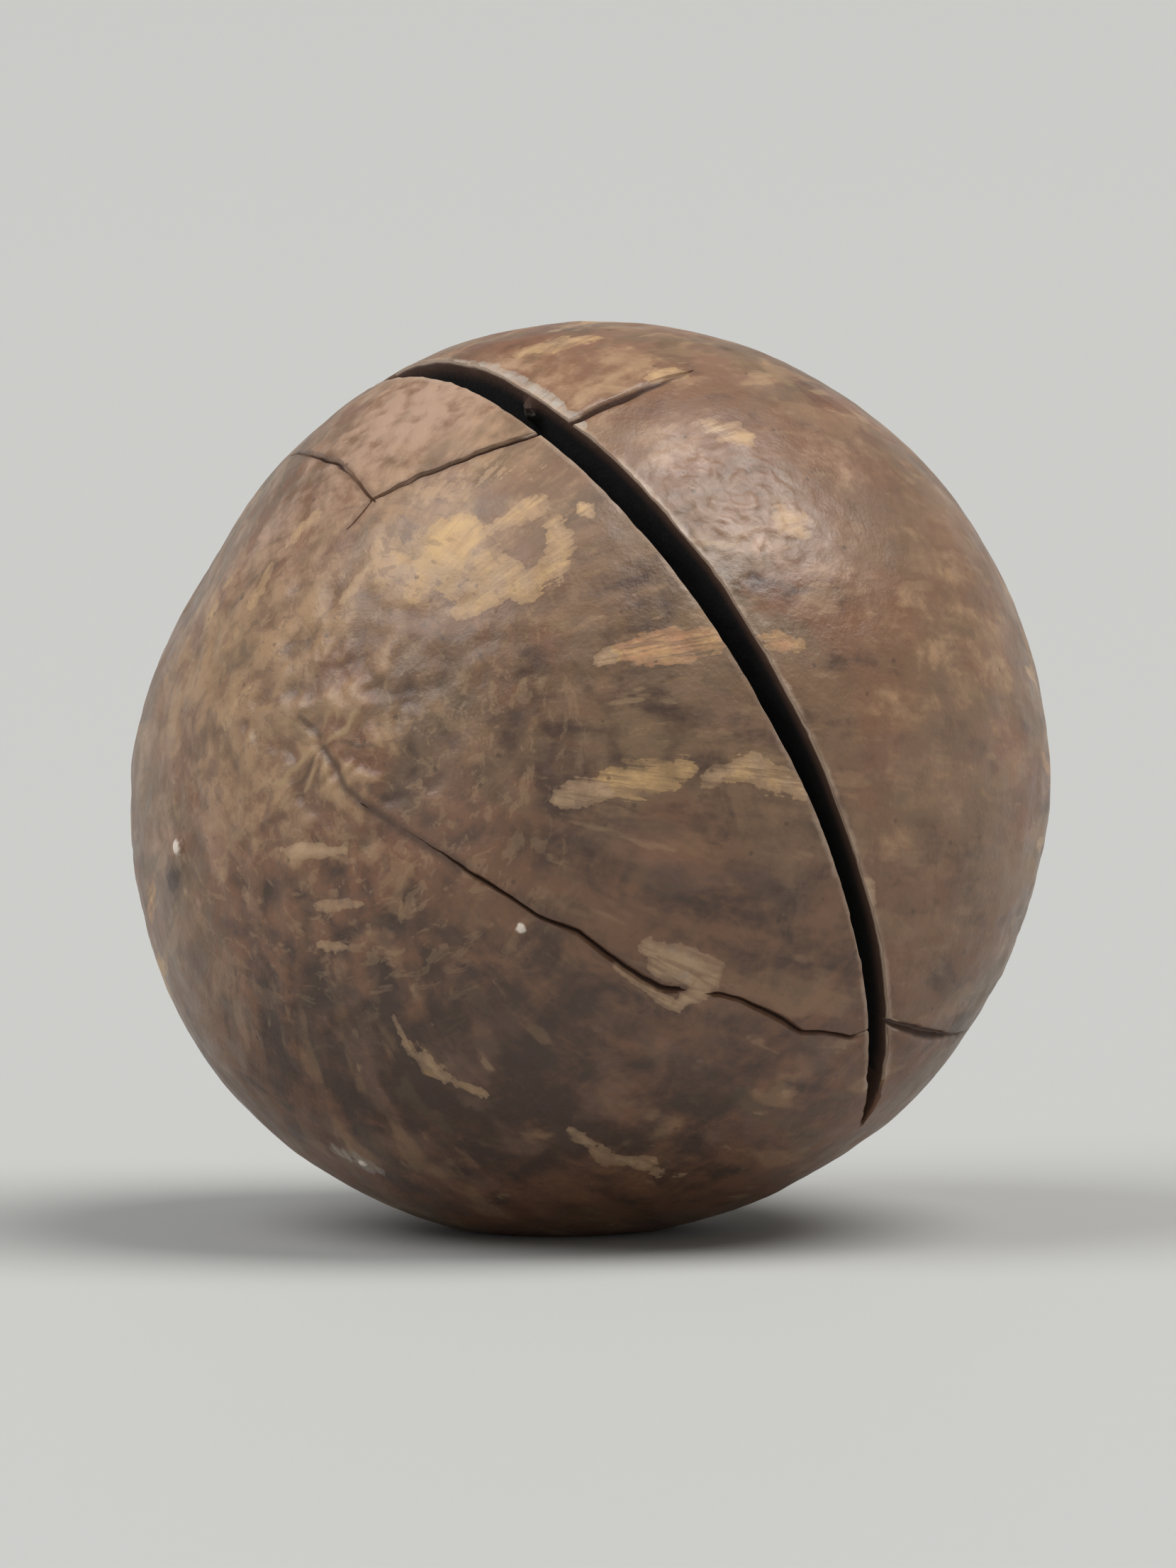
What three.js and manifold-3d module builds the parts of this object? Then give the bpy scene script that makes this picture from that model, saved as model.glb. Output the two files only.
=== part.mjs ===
// Macadamia nut in its shell, with a saw cut part of the way round and two cracks.
// Millimetres, +Z up. The origin is the middle of the small flat spot that the nut rests on.
// The front of the nut faces -Y, and +X is to its right.

import * as THREE from 'three';
import { mergeVertices } from 'three/addons/utils/BufferGeometryUtils.js';
import Module from 'manifold-3d';

const wasm = await Module();
wasm.setup();

// The whole nut
const shellRadius = 12.5;
const restSpotRadius = 2.7;
const facetsPerSide = 15; // along each edge of the icosahedron that the shell starts from

// The nut is not quite round. Each set of swells stands round the front-to-back line:
// how many there are, how high, and where the first is, in degrees up from the right.
const swells = [
  { count: 2, height: 0.23, first: 46 },
  { count: 3, height: 0.11, first: -20 },
];
// One place at the upper left is flatter than the rest
const flatterAt = facing(-88, 32);
const flatterDepth = 0.36;
const flatterSpread = 16; // degrees from its middle to where it is a third as deep
// Low lumps all over: waves along X, Y and Z, and where each starts
const lumpHeight = 0.017;
const lumpWaves = [[7, 0, 4, 0], [-5, 6, 0, 2], [0, 5, 8, 1]];

// The saw cut lies in one plane, a little off the nut's centre. Its two ends are given in
// degrees round the cut, from its highest point and over the front.
const cutFaces = facing(119.6, 24.4);
const cutOffCentre = 0.41;
const cutStart = -24;
const cutEnd = 146;
const cutWidth = 0.92;
const cutLowWidth = 0.64; // the cut is narrower lower down
const cutNarrowFrom = 55; // degrees round the cut
const cutNarrowTo = 100;
const cutDepth = 2.5;
const cutRunOut = 30; // degrees over which the blade leaves the nut at each end
const cutNarrowsBelow = 0.75; // share of the full depth at which the cut starts to narrow
const cutEndWidth = 0.12; // share of the width that is left at the very ends
const cutFloorShare = 0.85;
const cutSteps = 34;

// Cracks, as [degrees to the right of the front, degrees above level] seen from the centre
const crackWidth = 0.24;
const crackDepth = 0.6;
const crackFloorShare = 0.25;
const crackEndShare = 0.3; // of the width and depth, left at a crack's two ends
const upperCrack = [
  [-90, 48], [-72, 49], [-56, 48], [-39.4, 42.4], [-33.9, 45.3], [-24.7, 49.4],
  [-13.4, 53.3], [-3, 57.5], [7.9, 61.1], [23.2, 64.9], [36, 67],
];
const upperBranch = [[-39.4, 42.4], [-41, 39.5], [-41.9, 37.6]];
const lowerCrack = [
  [-35.7, 8.6], [-32.7, 5.3], [-29, 1.6], [-24.7, -0.7], [-15.8, -5.5], [-6.4, -11.4],
  [-1.2, -13.6], [4, -17.7], [9.6, -21.1], [18.2, -22.3], [24.6, -24.5], [32.2, -28.3],
  [41.4, -29.9], [47.8, -28], [56.3, -29.9], [74, -32.3], [86, -32],
];

// The rough scar where the nut hung from its stalk is at the end away from the star of veins
const nutEnd = facing(-35.7, 9);
const scarRadius = 2.3;
const scarRise = 0.16;
const scarSink = 0.8;
const scarRoughness = 0.16; // share of the rise
const scarSides = 44;

// Unit direction from the centre of the nut
function facing(turn, rise) {
  const t = THREE.MathUtils.degToRad(turn);
  const r = THREE.MathUtils.degToRad(rise);
  return new THREE.Vector3(Math.sin(t) * Math.cos(r), -Math.cos(t) * Math.cos(r), Math.sin(r));
}

// Distance from the centre of the nut to its surface in direction d
function surfaceRadius(d) {
  const around = Math.atan2(d.z, d.x);
  const acrossFront = Math.hypot(d.x, d.z);
  let radius = shellRadius;
  for (const { count, height, first } of swells) {
    const phase = count * (around - THREE.MathUtils.degToRad(first));
    radius += height * acrossFront ** count * Math.cos(phase);
  }
  const fromFlatter = THREE.MathUtils.radToDeg(d.angleTo(flatterAt)) / flatterSpread;
  radius -= flatterDepth * Math.exp(-(fromFlatter ** 2));
  for (const [x, y, z, start] of lumpWaves) {
    radius += lumpHeight * Math.sin(x * d.x + y * d.y + z * d.z + start);
  }
  return radius;
}

// Keeps only the positions of a closed geometry, each corner once
function bare(geometry) {
  geometry.deleteAttribute('normal');
  geometry.deleteAttribute('uv');
  const merged = mergeVertices(geometry, 1e-5);
  const corners = merged.index.array;
  const kept = [];
  for (let i = 0; i < corners.length; i += 3) {
    const [a, b, c] = corners.subarray(i, i + 3);
    if (a !== b && b !== c && c !== a) kept.push(a, b, c);
  }
  merged.setIndex(kept);
  return merged;
}

// Makes a solid to cut or join
function solidFrom(geometry) {
  return new wasm.Manifold(new wasm.Mesh({
    numProp: 3,
    vertProperties: new Float32Array(geometry.attributes.position.array),
    triVerts: new Uint32Array(geometry.index.array),
  }));
}

function geometryFrom(solid) {
  const { vertProperties, triVerts } = solid.getMesh();
  const geometry = new THREE.BufferGeometry();
  geometry.setAttribute('position', new THREE.BufferAttribute(vertProperties, 3));
  geometry.setIndex(new THREE.BufferAttribute(triVerts, 1));
  geometry.computeVertexNormals();
  return geometry;
}

// Moves every vertex of a geometry to where the rule sends it
function reshape(geometry, rule) {
  const position = geometry.attributes.position;
  const point = new THREE.Vector3();
  for (let i = 0; i < position.count; i++) {
    rule(point.fromBufferAttribute(position, i));
    position.setXYZ(i, point.x, point.y, point.z);
  }
  return geometry;
}

// The shell: a ball pushed out to the surface, centred on the origin for now
function shellBody() {
  const ball = bare(new THREE.IcosahedronGeometry(1, facetsPerSide - 1));
  return solidFrom(reshape(ball, (p) => {
    p.normalize();
    p.multiplyScalar(surfaceRadius(p));
  }));
}

// A slot that follows the surface: a long box bent along its stations. Each station has its
// direction from the centre, the slot's half width and its depth there.
function slot(stations, floorShare) {
  const clearance = 0.8; // how far the cutter stands out of the nut
  const last = stations.length - 1;
  const bar = bare(new THREE.BoxGeometry(1, 1, 1, 1, last, 1));
  return solidFrom(reshape(bar, (p) => {
    const k = Math.round((p.y + 0.5) * last);
    const { direction, halfWidth, depth } = stations[k];
    const along = stations[Math.min(k + 1, last)].direction.clone();
    along.sub(stations[Math.max(k - 1, 0)].direction);
    const across = along.cross(direction).normalize();
    const onFloor = p.z < 0;
    const side = Math.sign(p.x) * halfWidth * (onFloor ? floorShare : 1);
    const height = surfaceRadius(direction) + (onFloor ? -depth : clearance);
    p.copy(direction).multiplyScalar(height).addScaledVector(across, side);
  }));
}

// The saw cut keeps its depth, and grows shallow and narrow where the blade left the nut
function sawCut() {
  const up = new THREE.Vector3(0, 0, 1);
  const top = up.addScaledVector(cutFaces, -up.dot(cutFaces)).normalize();
  const overFront = cutFaces.clone().cross(top);
  const emergence = 0.1; // the cutter clears the surface at its two ends
  const stations = [];
  for (let k = 0; k <= cutSteps; k++) {
    const turn = cutStart + (cutEnd - cutStart) * (k / cutSteps);
    const fromEnd = Math.min(turn - cutStart, cutEnd - turn) / cutRunOut;
    const share = Math.sin(Math.min(1, fromEnd) * Math.PI / 2);
    const angle = THREE.MathUtils.degToRad(turn);
    const direction = top.clone().multiplyScalar(shellRadius * Math.cos(angle));
    direction.addScaledVector(overFront, shellRadius * Math.sin(angle));
    direction.addScaledVector(cutFaces, cutOffCentre).normalize();
    const low = THREE.MathUtils.clamp((turn - cutNarrowFrom) / (cutNarrowTo - cutNarrowFrom), 0, 1);
    const width = THREE.MathUtils.lerp(cutWidth, cutLowWidth, low);
    const narrowing = Math.min(1, cutEndWidth + (1 - cutEndWidth) * share / cutNarrowsBelow);
    stations.push({ direction, halfWidth: width * narrowing / 2, depth: cutDepth * share - emergence });
  }
  return slot(stations, cutFloorShare);
}

function crack(places) {
  const ends = [0, places.length - 1];
  return slot(places.map(([turn, rise], k) => {
    const share = ends.includes(k) ? crackEndShare : 1;
    return { direction: facing(turn, rise), halfWidth: crackWidth * share / 2, depth: crackDepth * share };
  }), crackFloorShare);
}

// The scar: a low rough button sunk into the far end. Its profile gives how far out each
// point is, as a share of the radius, and how proud it stands, as a share of the rise.
function stalkScar() {
  const sunk = -scarSink / scarRise;
  const profile = [
    [0, sunk], [0.9, sunk], [1, 0], [0.93, 0.9], [0.8, 1], [0.6, 0.6], [0.35, 0.75], [0.15, 1], [0, 0.9],
  ];
  const points = profile.map(([out, rise]) => new THREE.Vector2(out * scarRadius, rise * scarRise));
  const button = bare(new THREE.LatheGeometry(points, scarSides));
  const away = nutEnd.clone().negate();
  const turnToEnd = new THREE.Quaternion().setFromUnitVectors(new THREE.Vector3(0, 1, 0), away);
  return solidFrom(reshape(button, (p) => {
    const out = Math.hypot(p.x, p.z);
    const around = out > 0 ? Math.atan2(p.z, p.x) : 0;
    const ridges = Math.sin(5 * around + 4 * out) + Math.sin(13 * around - 5 * out + 1);
    const rise = p.y > 0 ? p.y * (1 + scarRoughness * ridges) : p.y;
    p.y = 0;
    p.multiplyScalar(1 + 0.05 * Math.sin(3 * around) + 0.015 * Math.sin(7 * around + 1));
    p.applyQuaternion(turnToEnd).addScaledVector(away, shellRadius).normalize();
    p.multiplyScalar(surfaceRadius(p) + rise);
  }));
}

// A block that takes off everything below the rest spot
function belowRest(restHeight) {
  const size = 4 * shellRadius;
  const block = new THREE.BoxGeometry(size, size, size);
  block.translate(0, 0, -restHeight - size / 2);
  return solidFrom(bare(block));
}

const bottomRadius = surfaceRadius(new THREE.Vector3(0, 0, -1));
const restHeight = Math.sqrt(bottomRadius ** 2 - restSpotRadius ** 2);

const nutSolid = shellBody()
  .add(stalkScar())
  .subtract(sawCut())
  .subtract(crack(upperCrack))
  .subtract(crack(upperBranch))
  .subtract(crack(lowerCrack))
  .subtract(belowRest(restHeight));

const shellMaterial = new THREE.MeshStandardMaterial({ color: 0x80664d, roughness: 0.5, metalness: 0 });
const nut = new THREE.Mesh(geometryFrom(nutSolid), shellMaterial);
nut.name = 'nut';
nut.position.z = restHeight;

const part = new THREE.Group();
part.add(nut);
export default part;
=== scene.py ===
# %% [markdown]
# # A macadamia nut in its shell
# This lesson makes one brown nut, 25 mm across, the way it is sold: whole, in its hard shell,
# with a saw cut part of the way round so that it can be opened by hand. Two fine cracks run
# from the cut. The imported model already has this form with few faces. Here the same form is
# built again with fine faces, crumbled edges and a painted surface, and it takes the place
# of the plain one.

import math
import random

import bmesh
import bpy
import numpy as np
from mathutils import Matrix, Vector, noise


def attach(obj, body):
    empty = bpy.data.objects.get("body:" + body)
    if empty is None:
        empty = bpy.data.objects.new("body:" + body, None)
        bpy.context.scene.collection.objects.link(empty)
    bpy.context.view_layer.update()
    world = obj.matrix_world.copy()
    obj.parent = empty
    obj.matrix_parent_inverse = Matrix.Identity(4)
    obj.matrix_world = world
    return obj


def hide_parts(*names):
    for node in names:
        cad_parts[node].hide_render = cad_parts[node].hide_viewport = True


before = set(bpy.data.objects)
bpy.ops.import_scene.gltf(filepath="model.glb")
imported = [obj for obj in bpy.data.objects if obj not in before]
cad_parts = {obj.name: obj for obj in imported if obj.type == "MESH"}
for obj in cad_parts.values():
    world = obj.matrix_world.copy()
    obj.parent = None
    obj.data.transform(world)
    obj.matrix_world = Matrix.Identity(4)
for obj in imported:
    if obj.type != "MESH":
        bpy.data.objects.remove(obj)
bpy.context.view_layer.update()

# %% [markdown]
# ## Directions on a round thing
# A nut has no corners to measure from, so every place on it is given as a direction from its middle: degrees
# to the right of the front, and degrees above level. A place that was read off from the front is easier to
# give as millimetres to the right of the middle and above it, so there is a helper for each. All work is
# done in millimetres, with the middle of the nut at the origin, and the finished mesh is brought to metres
# at the end.

# %% Helpers for directions
shell_radius = 12.5
view_rise = 5  # degrees that the camera looks down


def unit(v):
    """The same direction with length 1"""
    return v / np.linalg.norm(v)


def facing(turn, rise):
    """Direction that is so many degrees to the right of the front and above level"""
    t, r = math.radians(turn), math.radians(rise)
    return np.array([math.sin(t) * math.cos(r), -math.cos(t) * math.cos(r), math.sin(r)])


to_camera = facing(0, view_rise)
view_up = facing(180, 90 - view_rise)


def seen(right, up):
    """Direction of the place that is seen so many millimetres right of the middle and above it"""
    towards = math.sqrt(max(0.0, shell_radius ** 2 - right ** 2 - up ** 2))
    return unit(np.array([right, 0, 0]) + up * view_up + towards * to_camera)


print("the camera looks from", to_camera.round(3))

# %% [markdown]
# ## The form of the shell
# The nut is nearly a ball. What takes it away from one is low and wide: it is a little oval
# and a little three-cornered seen from the front, with one flatter place at the upper left.
# Waves round the front-to-back line give the first two, because a wave that goes round
# twice makes an oval and one that goes round three times makes three corners. A formula is
# used and not modelling by hand, because the same formula later tells how deep any point of
# a cut lies below the shell.

# %% The smooth form
swells = [(2, 0.23, 46), (3, 0.11, -20)]  # how many round the nut, how high, degrees up to the first
flatter_at = facing(-88, 32)
flatter_depth = 0.36
flatter_spread = 16  # degrees from its middle to where it is a third as deep
lump_height = 0.017
lump_waves = [(7, 0, 4, 0), (-5, 6, 0, 2), (0, 5, 8, 1)]  # waves along X, Y and Z, and the start


def form_radius(d):
    """Distance from the middle to the smooth form, for the directions in the rows of d"""
    around = np.arctan2(d[:, 2], d[:, 0])
    across_front = np.hypot(d[:, 0], d[:, 2])
    radius = np.full(len(d), shell_radius)
    for count, height, first in swells:
        radius += height * across_front ** count * np.cos(count * (around - math.radians(first)))
    from_flatter = np.degrees(np.arccos(np.clip(d @ flatter_at, -1, 1))) / flatter_spread
    radius -= flatter_depth * np.exp(-from_flatter ** 2)
    for x, y, z, start in lump_waves:
        radius += lump_height * np.sin(x * d[:, 0] + y * d[:, 1] + z * d[:, 2] + start)
    return radius


rest_spot_radius = 2.7
bottom_radius = form_radius(np.array([[0, 0, -1.0]]))[0]
rest_height = math.sqrt(bottom_radius ** 2 - rest_spot_radius ** 2)
print("the middle of the nut is", round(rest_height, 2), "mm above what it rests on")

# %% [markdown]
# ## The skin
# Close up, the shell isn't smooth. It has wide soft dents, a fine pebbled grain that breaks
# up the highlight, and a few pits. A bump in the material would only darken and lighten it, so
# here the points themselves move, and the highlight and the outline follow. Smooth noise gives
# the dents and the grain, one layer for each size. The pits are single dimples at random
# directions. The random numbers start from a fixed seed, so the nut is the same in each run.

# %% Dents, grain and pits
grain_layers = [(3.2, 0.06), (1.4, 0.03), (0.6, 0.014), (0.35, 0.006)]  # size and height in mm
pit_count = 170
pit_widths = (0.2, 0.45)
pit_depths = (0.012, 0.05)
chance = random.Random(11)


def random_direction():
    """A direction drawn so that every part of the ball is as likely"""
    z = chance.uniform(-1, 1)
    turn = chance.uniform(0, math.tau)
    flat = math.sqrt(1 - z * z)
    return np.array([flat * math.cos(turn), flat * math.sin(turn), z])


pits = [(random_direction(), chance.uniform(*pit_widths), chance.uniform(*pit_depths))
        for _ in range(pit_count)]


def skin_rise(d):
    """How far the skin stands above the smooth form"""
    rise = np.zeros(len(d))
    for size, height in grain_layers:
        places = d * (shell_radius / size)
        rise += height * np.array([noise.noise(place) for place in places])
    for middle, width, depth in pits:
        near = np.flatnonzero(d @ middle > 1 - (width / shell_radius) ** 2 * 2)
        apart = np.linalg.norm(d[near] - middle, axis=1) * shell_radius / width
        rise[near] -= depth * np.clip(1 - apart ** 2, 0, 1) ** 1.5
    return rise


print(len(pits), "pits and", len(grain_layers), "sizes of grain")

# %% [markdown]
# ## Wrinkles
# In some zones, round both ends most of all, the shell is drawn into soft folds. Plain noise
# would give lumps. When the places at which the noise is read are first bent by another noise,
# the lumps turn into folds that wind. Each zone fades out from its middle, so that no border
# shows. Sculpting them by hand would work too, but then they couldn't be made again from the
# formula, which later tells how deep a point lies. Blender's vector noise starts from the clock
# unless it is given a seed, so it gets a fixed one, and the folds are the same in each run.

# %% Wrinkled zones
noise.seed_set(1795600638)
# Middle of each zone, its spread, and the width and height of its folds, in mm
wrinkled = [
    (seen(-7.3, 0.5), 5.5, 0.85, 0.15), (seen(3.9, 7.4), 2.5, 0.36, 0.055),
    (seen(-5, 10), 3.0, 0.5, 0.08), (seen(-7, -6), 4.0, 0.8, 0.05), (seen(1.5, 5), 3.0, 0.6, 0.03),
    (facing(144, -9), 5.0, 0.8, 0.13), (facing(200, 40), 5.5, 0.7, 0.06),
    (facing(100, -20), 4.0, 0.7, 0.07), (facing(250, -10), 5.0, 0.9, 0.09),
]
highest_fold = max(height for middle, spread, width, height in wrinkled)
fold_bend = 0.6
finer_fold_share = 0.45
finer_fold_scale = 2.1
too_faint = 0.03  # share of a zone's strength below which its folds are left out


def wrinkles(d):
    """Height of the soft folds in mm"""
    fold = np.zeros(len(d))
    for middle, spread, width, height in wrinkled:
        apart = np.linalg.norm(d - middle, axis=1) * shell_radius / spread
        share = np.exp(-apart ** 2)
        for i in np.flatnonzero(share > too_faint):
            place = Vector(d[i]) * (shell_radius / width)
            bent = place + noise.noise_vector(place * fold_bend) * fold_bend
            finer_fold = finer_fold_share * noise.noise(bent * finer_fold_scale)
            fold[i] += height * share[i] * (noise.noise(bent) + finer_fold)
    return fold


print(len(wrinkled), "wrinkled zones with folds up to", highest_fold, "mm high")

# %% [markdown]
# ## The two ends of the nut
# A macadamia has two poles. At one, fine veins meet in a star, and from it a soft groove leads to where a
# crack opens. At the other is the round scar where the nut hung from its stalk. The veins are low relief, so
# they are one more term of the same formula: each is a ridge along a short bent line, given by its direction
# and by where it starts and ends. The grooves between them are given the same way but add no relief.

# %% The star of veins
star_end = facing(-35.7, 9)
star_right = unit(np.cross(np.array([0, 0, 1.0]), star_end))
star_up = np.cross(star_end, star_right)
# Degrees anticlockwise from the right, start and end in mm from the pole, bend in degrees,
# and height as a share: veins that stand up, and grooves with less than 0
star_veins = [
    (34, 0.1, 1.7, 8, 1.0), (14, 0.4, 2.0, -18, -0.9), (60, 0.5, 1.5, 12, 0.6), (96, 0.4, 2.0, -14, 0.7),
    (130, 0.3, 1.3, 8, -1.0), (152, 0.3, 2.2, 14, 0.7), (184, 0.4, 1.6, -10, -0.6), (211, 0.05, 2.6, 8, 1.0),
    (232, 0.5, 1.6, 8, -0.8), (250, 0.4, 1.7, -8, 0.9), (266, 0.5, 1.4, 4, -0.8), (282, 0.2, 1.6, 6, 0.8),
    (330, 0.6, 1.7, -14, 0.6), (346, 0.8, 2.5, 10, -0.5),
]
vein_height = 0.026
vein_width = 0.11
vein_sways = [(8, 3.1, 1), (4, 7.7, 2)]  # degrees, how fast it turns with the distance, and phase
vein_lead = 0.3  # how far before its start a vein begins to rise
far_away = 99.0


def star_place(d):
    """Millimetres right and up from the pole with the veins, and how far the place is from it"""
    right, up = (d @ star_right) * shell_radius, (d @ star_up) * shell_radius
    out = np.where(d @ star_end > 0, np.hypot(right, up), far_away)
    return right, up, out


def star_rise(d):
    """1 on a vein, -1 in a groove and 0 away from all"""
    right, up, out = star_place(d)
    around = np.degrees(np.arctan2(up, right))
    ridge = np.zeros(len(d))
    for turn, start, end, bend, high in star_veins:
        share = np.clip((out - start) / (end - start), 0, 1)
        sway = sum(wide * np.sin(out * pace + phase * turn) for wide, pace, phase in vein_sways)
        off = (around - turn - bend * share - sway * share + 180) % 360 - 180
        across = np.sin(np.radians(np.clip(off, -90, 90))) * out
        grown = np.clip((out - start + vein_lead) / (end - start + vein_lead), 0, 1)
        along = np.sqrt(np.sin(grown * math.pi))
        here = high * np.exp(-(across / vein_width) ** 2) * along
        ridge = np.where(abs(here) > abs(ridge), here, ridge)
    return ridge


print(len(star_veins), "veins, the longest", max(vein[2] for vein in star_veins), "mm")


# %% The groove from the star
def near_path(d, path):
    """Distance in mm from each direction in d to a line of places on the nut"""
    apart = np.full(len(d), far_away)
    for a, b in zip(path, path[1:]):
        share = np.clip((d - a) @ (b - a) / ((b - a) @ (b - a)), 0, 1)
        off = np.linalg.norm(d - a - share[:, None] * (b - a), axis=1)
        apart = np.minimum(apart, off * shell_radius)
    return apart


groove_places = [(-35.7, 8.6), (-33.2, 6.1), (-31.8, 3.9), (-28.6, 1.5), (-24.7, -0.7), (-20.2, -3.2),
                 (-15.8, -5.5)]
groove_path = [facing(turn, rise) for turn, rise in groove_places]
groove_depth = 0.05
groove_width = 0.12


def groove(d):
    """1 in the soft groove that runs from the star to where the lower crack opens"""
    return np.exp(-(near_path(d, groove_path) / groove_width) ** 2)


print("the groove is", groove_depth, "mm deep")

# %% [markdown]
# ## The stalk scar
# The scar is a low round button of corky strands with a raised rim. A profile that is read
# against the distance from its middle gives the button, and waves round it make its outline
# ragged. Noise that is folded over at its zero line gives the strands, because the zero lines
# of noise wind about and never end. Strands modelled one by one would look laid on.

# %% The stalk scar
scar_end = -star_end
scar_radius = 2.3
scar_height = 0.16
scar_out = [0, 0.15, 0.35, 0.6, 0.8, 0.93, 1, 1.12]  # shares of the radius
scar_up = [0.9, 1, 0.75, 0.6, 1, 0.9, 0, 0]  # shares of the height
scar_outline = [(0.05, 3, 0), (0.015, 7, 1), (0.03, 11, 2), (0.025, 19, 0)]  # height, waves, start
scar_waves = [(5, 4, 0), (13, -5, 1)]  # how many round it, how much they lean outwards, start
scar_roughness = 0.16
scar_rim = 1.05  # share of the radius at which the strands have faded out
scar_rim_width = 1 / 6  # over which they fade
strand_size = 0.3
strand_height = 0.08
strand_bend_size = 0.7
strand_bend = 0.5
strand_sharpness = 4
grit_share = 0.7
grit_scale = 1.9
turn_to_scar = Vector((0, 1, 0)).rotation_difference(Vector(scar_end))
scar_across = np.array(turn_to_scar @ Vector((1, 0, 0)))
scar_along = np.array(turn_to_scar @ Vector((0, 0, 1)))


def scar_place(d):
    """How far out each direction is, as a share of the scar's radius, and the angle round it"""
    around = np.arctan2(d @ scar_along, d @ scar_across)
    outline = 1 + sum(high * np.sin(count * around + start) for high, count, start in scar_outline)
    apart = np.linalg.norm(d - scar_end, axis=1) * shell_radius
    return apart / (scar_radius * outline), around


def scar_strands(d):
    """Winding corky strands, about 1 on a strand and below 0 between them"""
    value = np.zeros(len(d))
    for i, direction in enumerate(d):
        place = Vector(direction) * (shell_radius / strand_size)
        bent = place + noise.noise_vector(place * strand_bend_size) * strand_bend
        grit = grit_share * noise.noise(place * grit_scale)
        value[i] = 1 - strand_sharpness * abs(noise.noise(bent)) + grit
    return value


def scar_rise(d):
    """How far the scar stands above the smooth form, 0 outside it"""
    out, around = scar_place(d)
    rise = scar_height * np.interp(out, scar_out, scar_up)
    waves = sum(np.sin(count * around + lean * out + start) for count, lean, start in scar_waves)
    rise *= 1 + scar_roughness * waves
    in_scar = np.flatnonzero(out < scar_rim)
    fade = np.clip((scar_rim - out[in_scar]) / scar_rim_width, 0, 1)
    rise[in_scar] += strand_height * scar_strands(d[in_scar]) * fade
    return rise


print("the scar is", 2 * scar_radius, "mm across")

# %% [markdown]
# ## Crumbs, and the whole surface
# Three pale crumbs stick to the front. Each is a low dome, so it too can be a term of the
# formula. The last function adds everything up. It gives the distance from the middle of the
# nut to its finished surface in any direction, and whatever comes later asks it.

# %% The whole surface
# Crumbs as mm right of the middle, mm above it, and radius
white_crumbs = [(-11.1, -1.7, 0.26), (-1.8, -3.9, 0.17), (-6.0, -10.1, 0.15)]
crumb_height_share = 0.55  # of a crumb's radius
skin_lost_in_scar = 0.7
scar_border = (0.9, 1.1)  # shares of the scar's radius between which the skin comes back


def crumb_rise(d):
    """How far the crumbs stand above the skin, 0 beside them"""
    rise = np.zeros(len(d))
    for right, up, radius in white_crumbs:
        apart = np.linalg.norm(d - seen(right, up), axis=1) * shell_radius / radius
        rise += crumb_height_share * radius * np.sqrt(np.clip(1 - apart ** 2, 0, 1))
    return rise


def shell_surface(d):
    """Distance from the middle to the finished surface"""
    in_scar = np.interp(scar_place(d)[0], scar_border, (1, 0))
    skin = (skin_rise(d) + wrinkles(d)) * (1 - skin_lost_in_scar * in_scar)
    veins = vein_height * np.maximum(star_rise(d), 0) - groove_depth * groove(d)
    return form_radius(d) + skin + veins + scar_rise(d) + crumb_rise(d)


top_radius = shell_surface(np.array([[0, 0, 1.0]]))[0]
print("the surface is", round(top_radius, 2), "mm above the middle at the top")

# %% [markdown]
# ## A fine ball
# The mesh starts as an icosphere, whose triangles are all nearly alike, so that no pole or
# seam shows as it would on a UV sphere. Each of them is split into a fine grid. Where the
# relief is finest, the grid is split once more: at the two ends, in the wrinkles that catch
# the highlight, and under the crumbs. Then each point is pushed out to the surface.

# %% Build the ball
grid_cuts = 42
# Middle and radius in mm of each place with a finer grid
finer_places = [(star_end, 3.1), (scar_end, 3.1), (seen(3.9, 7.5), 2.9)]
finer_places += [(seen(right, up), 3 * radius) for right, up, radius in white_crumbs]


def fine_ball():
    """The mesh of a ball of triangles with radius 1"""
    ball = bmesh.new()
    bmesh.ops.create_icosphere(ball, subdivisions=2, radius=1)
    bmesh.ops.subdivide_edges(ball, edges=ball.edges[:], cuts=grid_cuts, use_grid_fill=True)
    for point in ball.verts:
        point.co.normalize()
    for middle, reach in finer_places:
        near = [e for e in ball.edges
                if all((v.co - Vector(middle)).length * shell_radius < reach for v in e.verts)]
        bmesh.ops.subdivide_edges(ball, edges=near, cuts=1, use_grid_fill=True)
    bmesh.ops.triangulate(ball, faces=ball.faces[:])
    mesh = bpy.data.meshes.new("nut_shell")
    ball.to_mesh(mesh)
    ball.free()
    return mesh


def read_points(mesh):
    """The places of all points, one in each row"""
    points = np.empty(len(mesh.vertices) * 3)
    mesh.vertices.foreach_get("co", points)
    return points.reshape(-1, 3)


def write_points(mesh, points):
    mesh.vertices.foreach_set("co", points.ravel())
    mesh.update()


def directions(points):
    """Directions of the points as seen from the middle of the nut"""
    return points / np.linalg.norm(points, axis=1)[:, None]


shell_mesh = fine_ball()
ball_directions = directions(read_points(shell_mesh))
write_points(shell_mesh, ball_directions * shell_surface(ball_directions)[:, None])
nut = bpy.data.objects.new("nut_shell", shell_mesh)
bpy.context.scene.collection.objects.link(nut)
print("the ball has", len(shell_mesh.polygons), "triangles")

# %% [markdown]
# ## A cutter that follows the surface
# The saw cut and the cracks are all slots that bend round the nut. Each is cut with a long
# bar that is swept along stations. At each station there is a ring of corners, and each
# corner is given by how far it lies to the side and how deep it lies below the form. A
# Boolean then takes the bar out of the ball. The edges come out crisp, which moving points
# of the ball up and down would never give.

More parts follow.
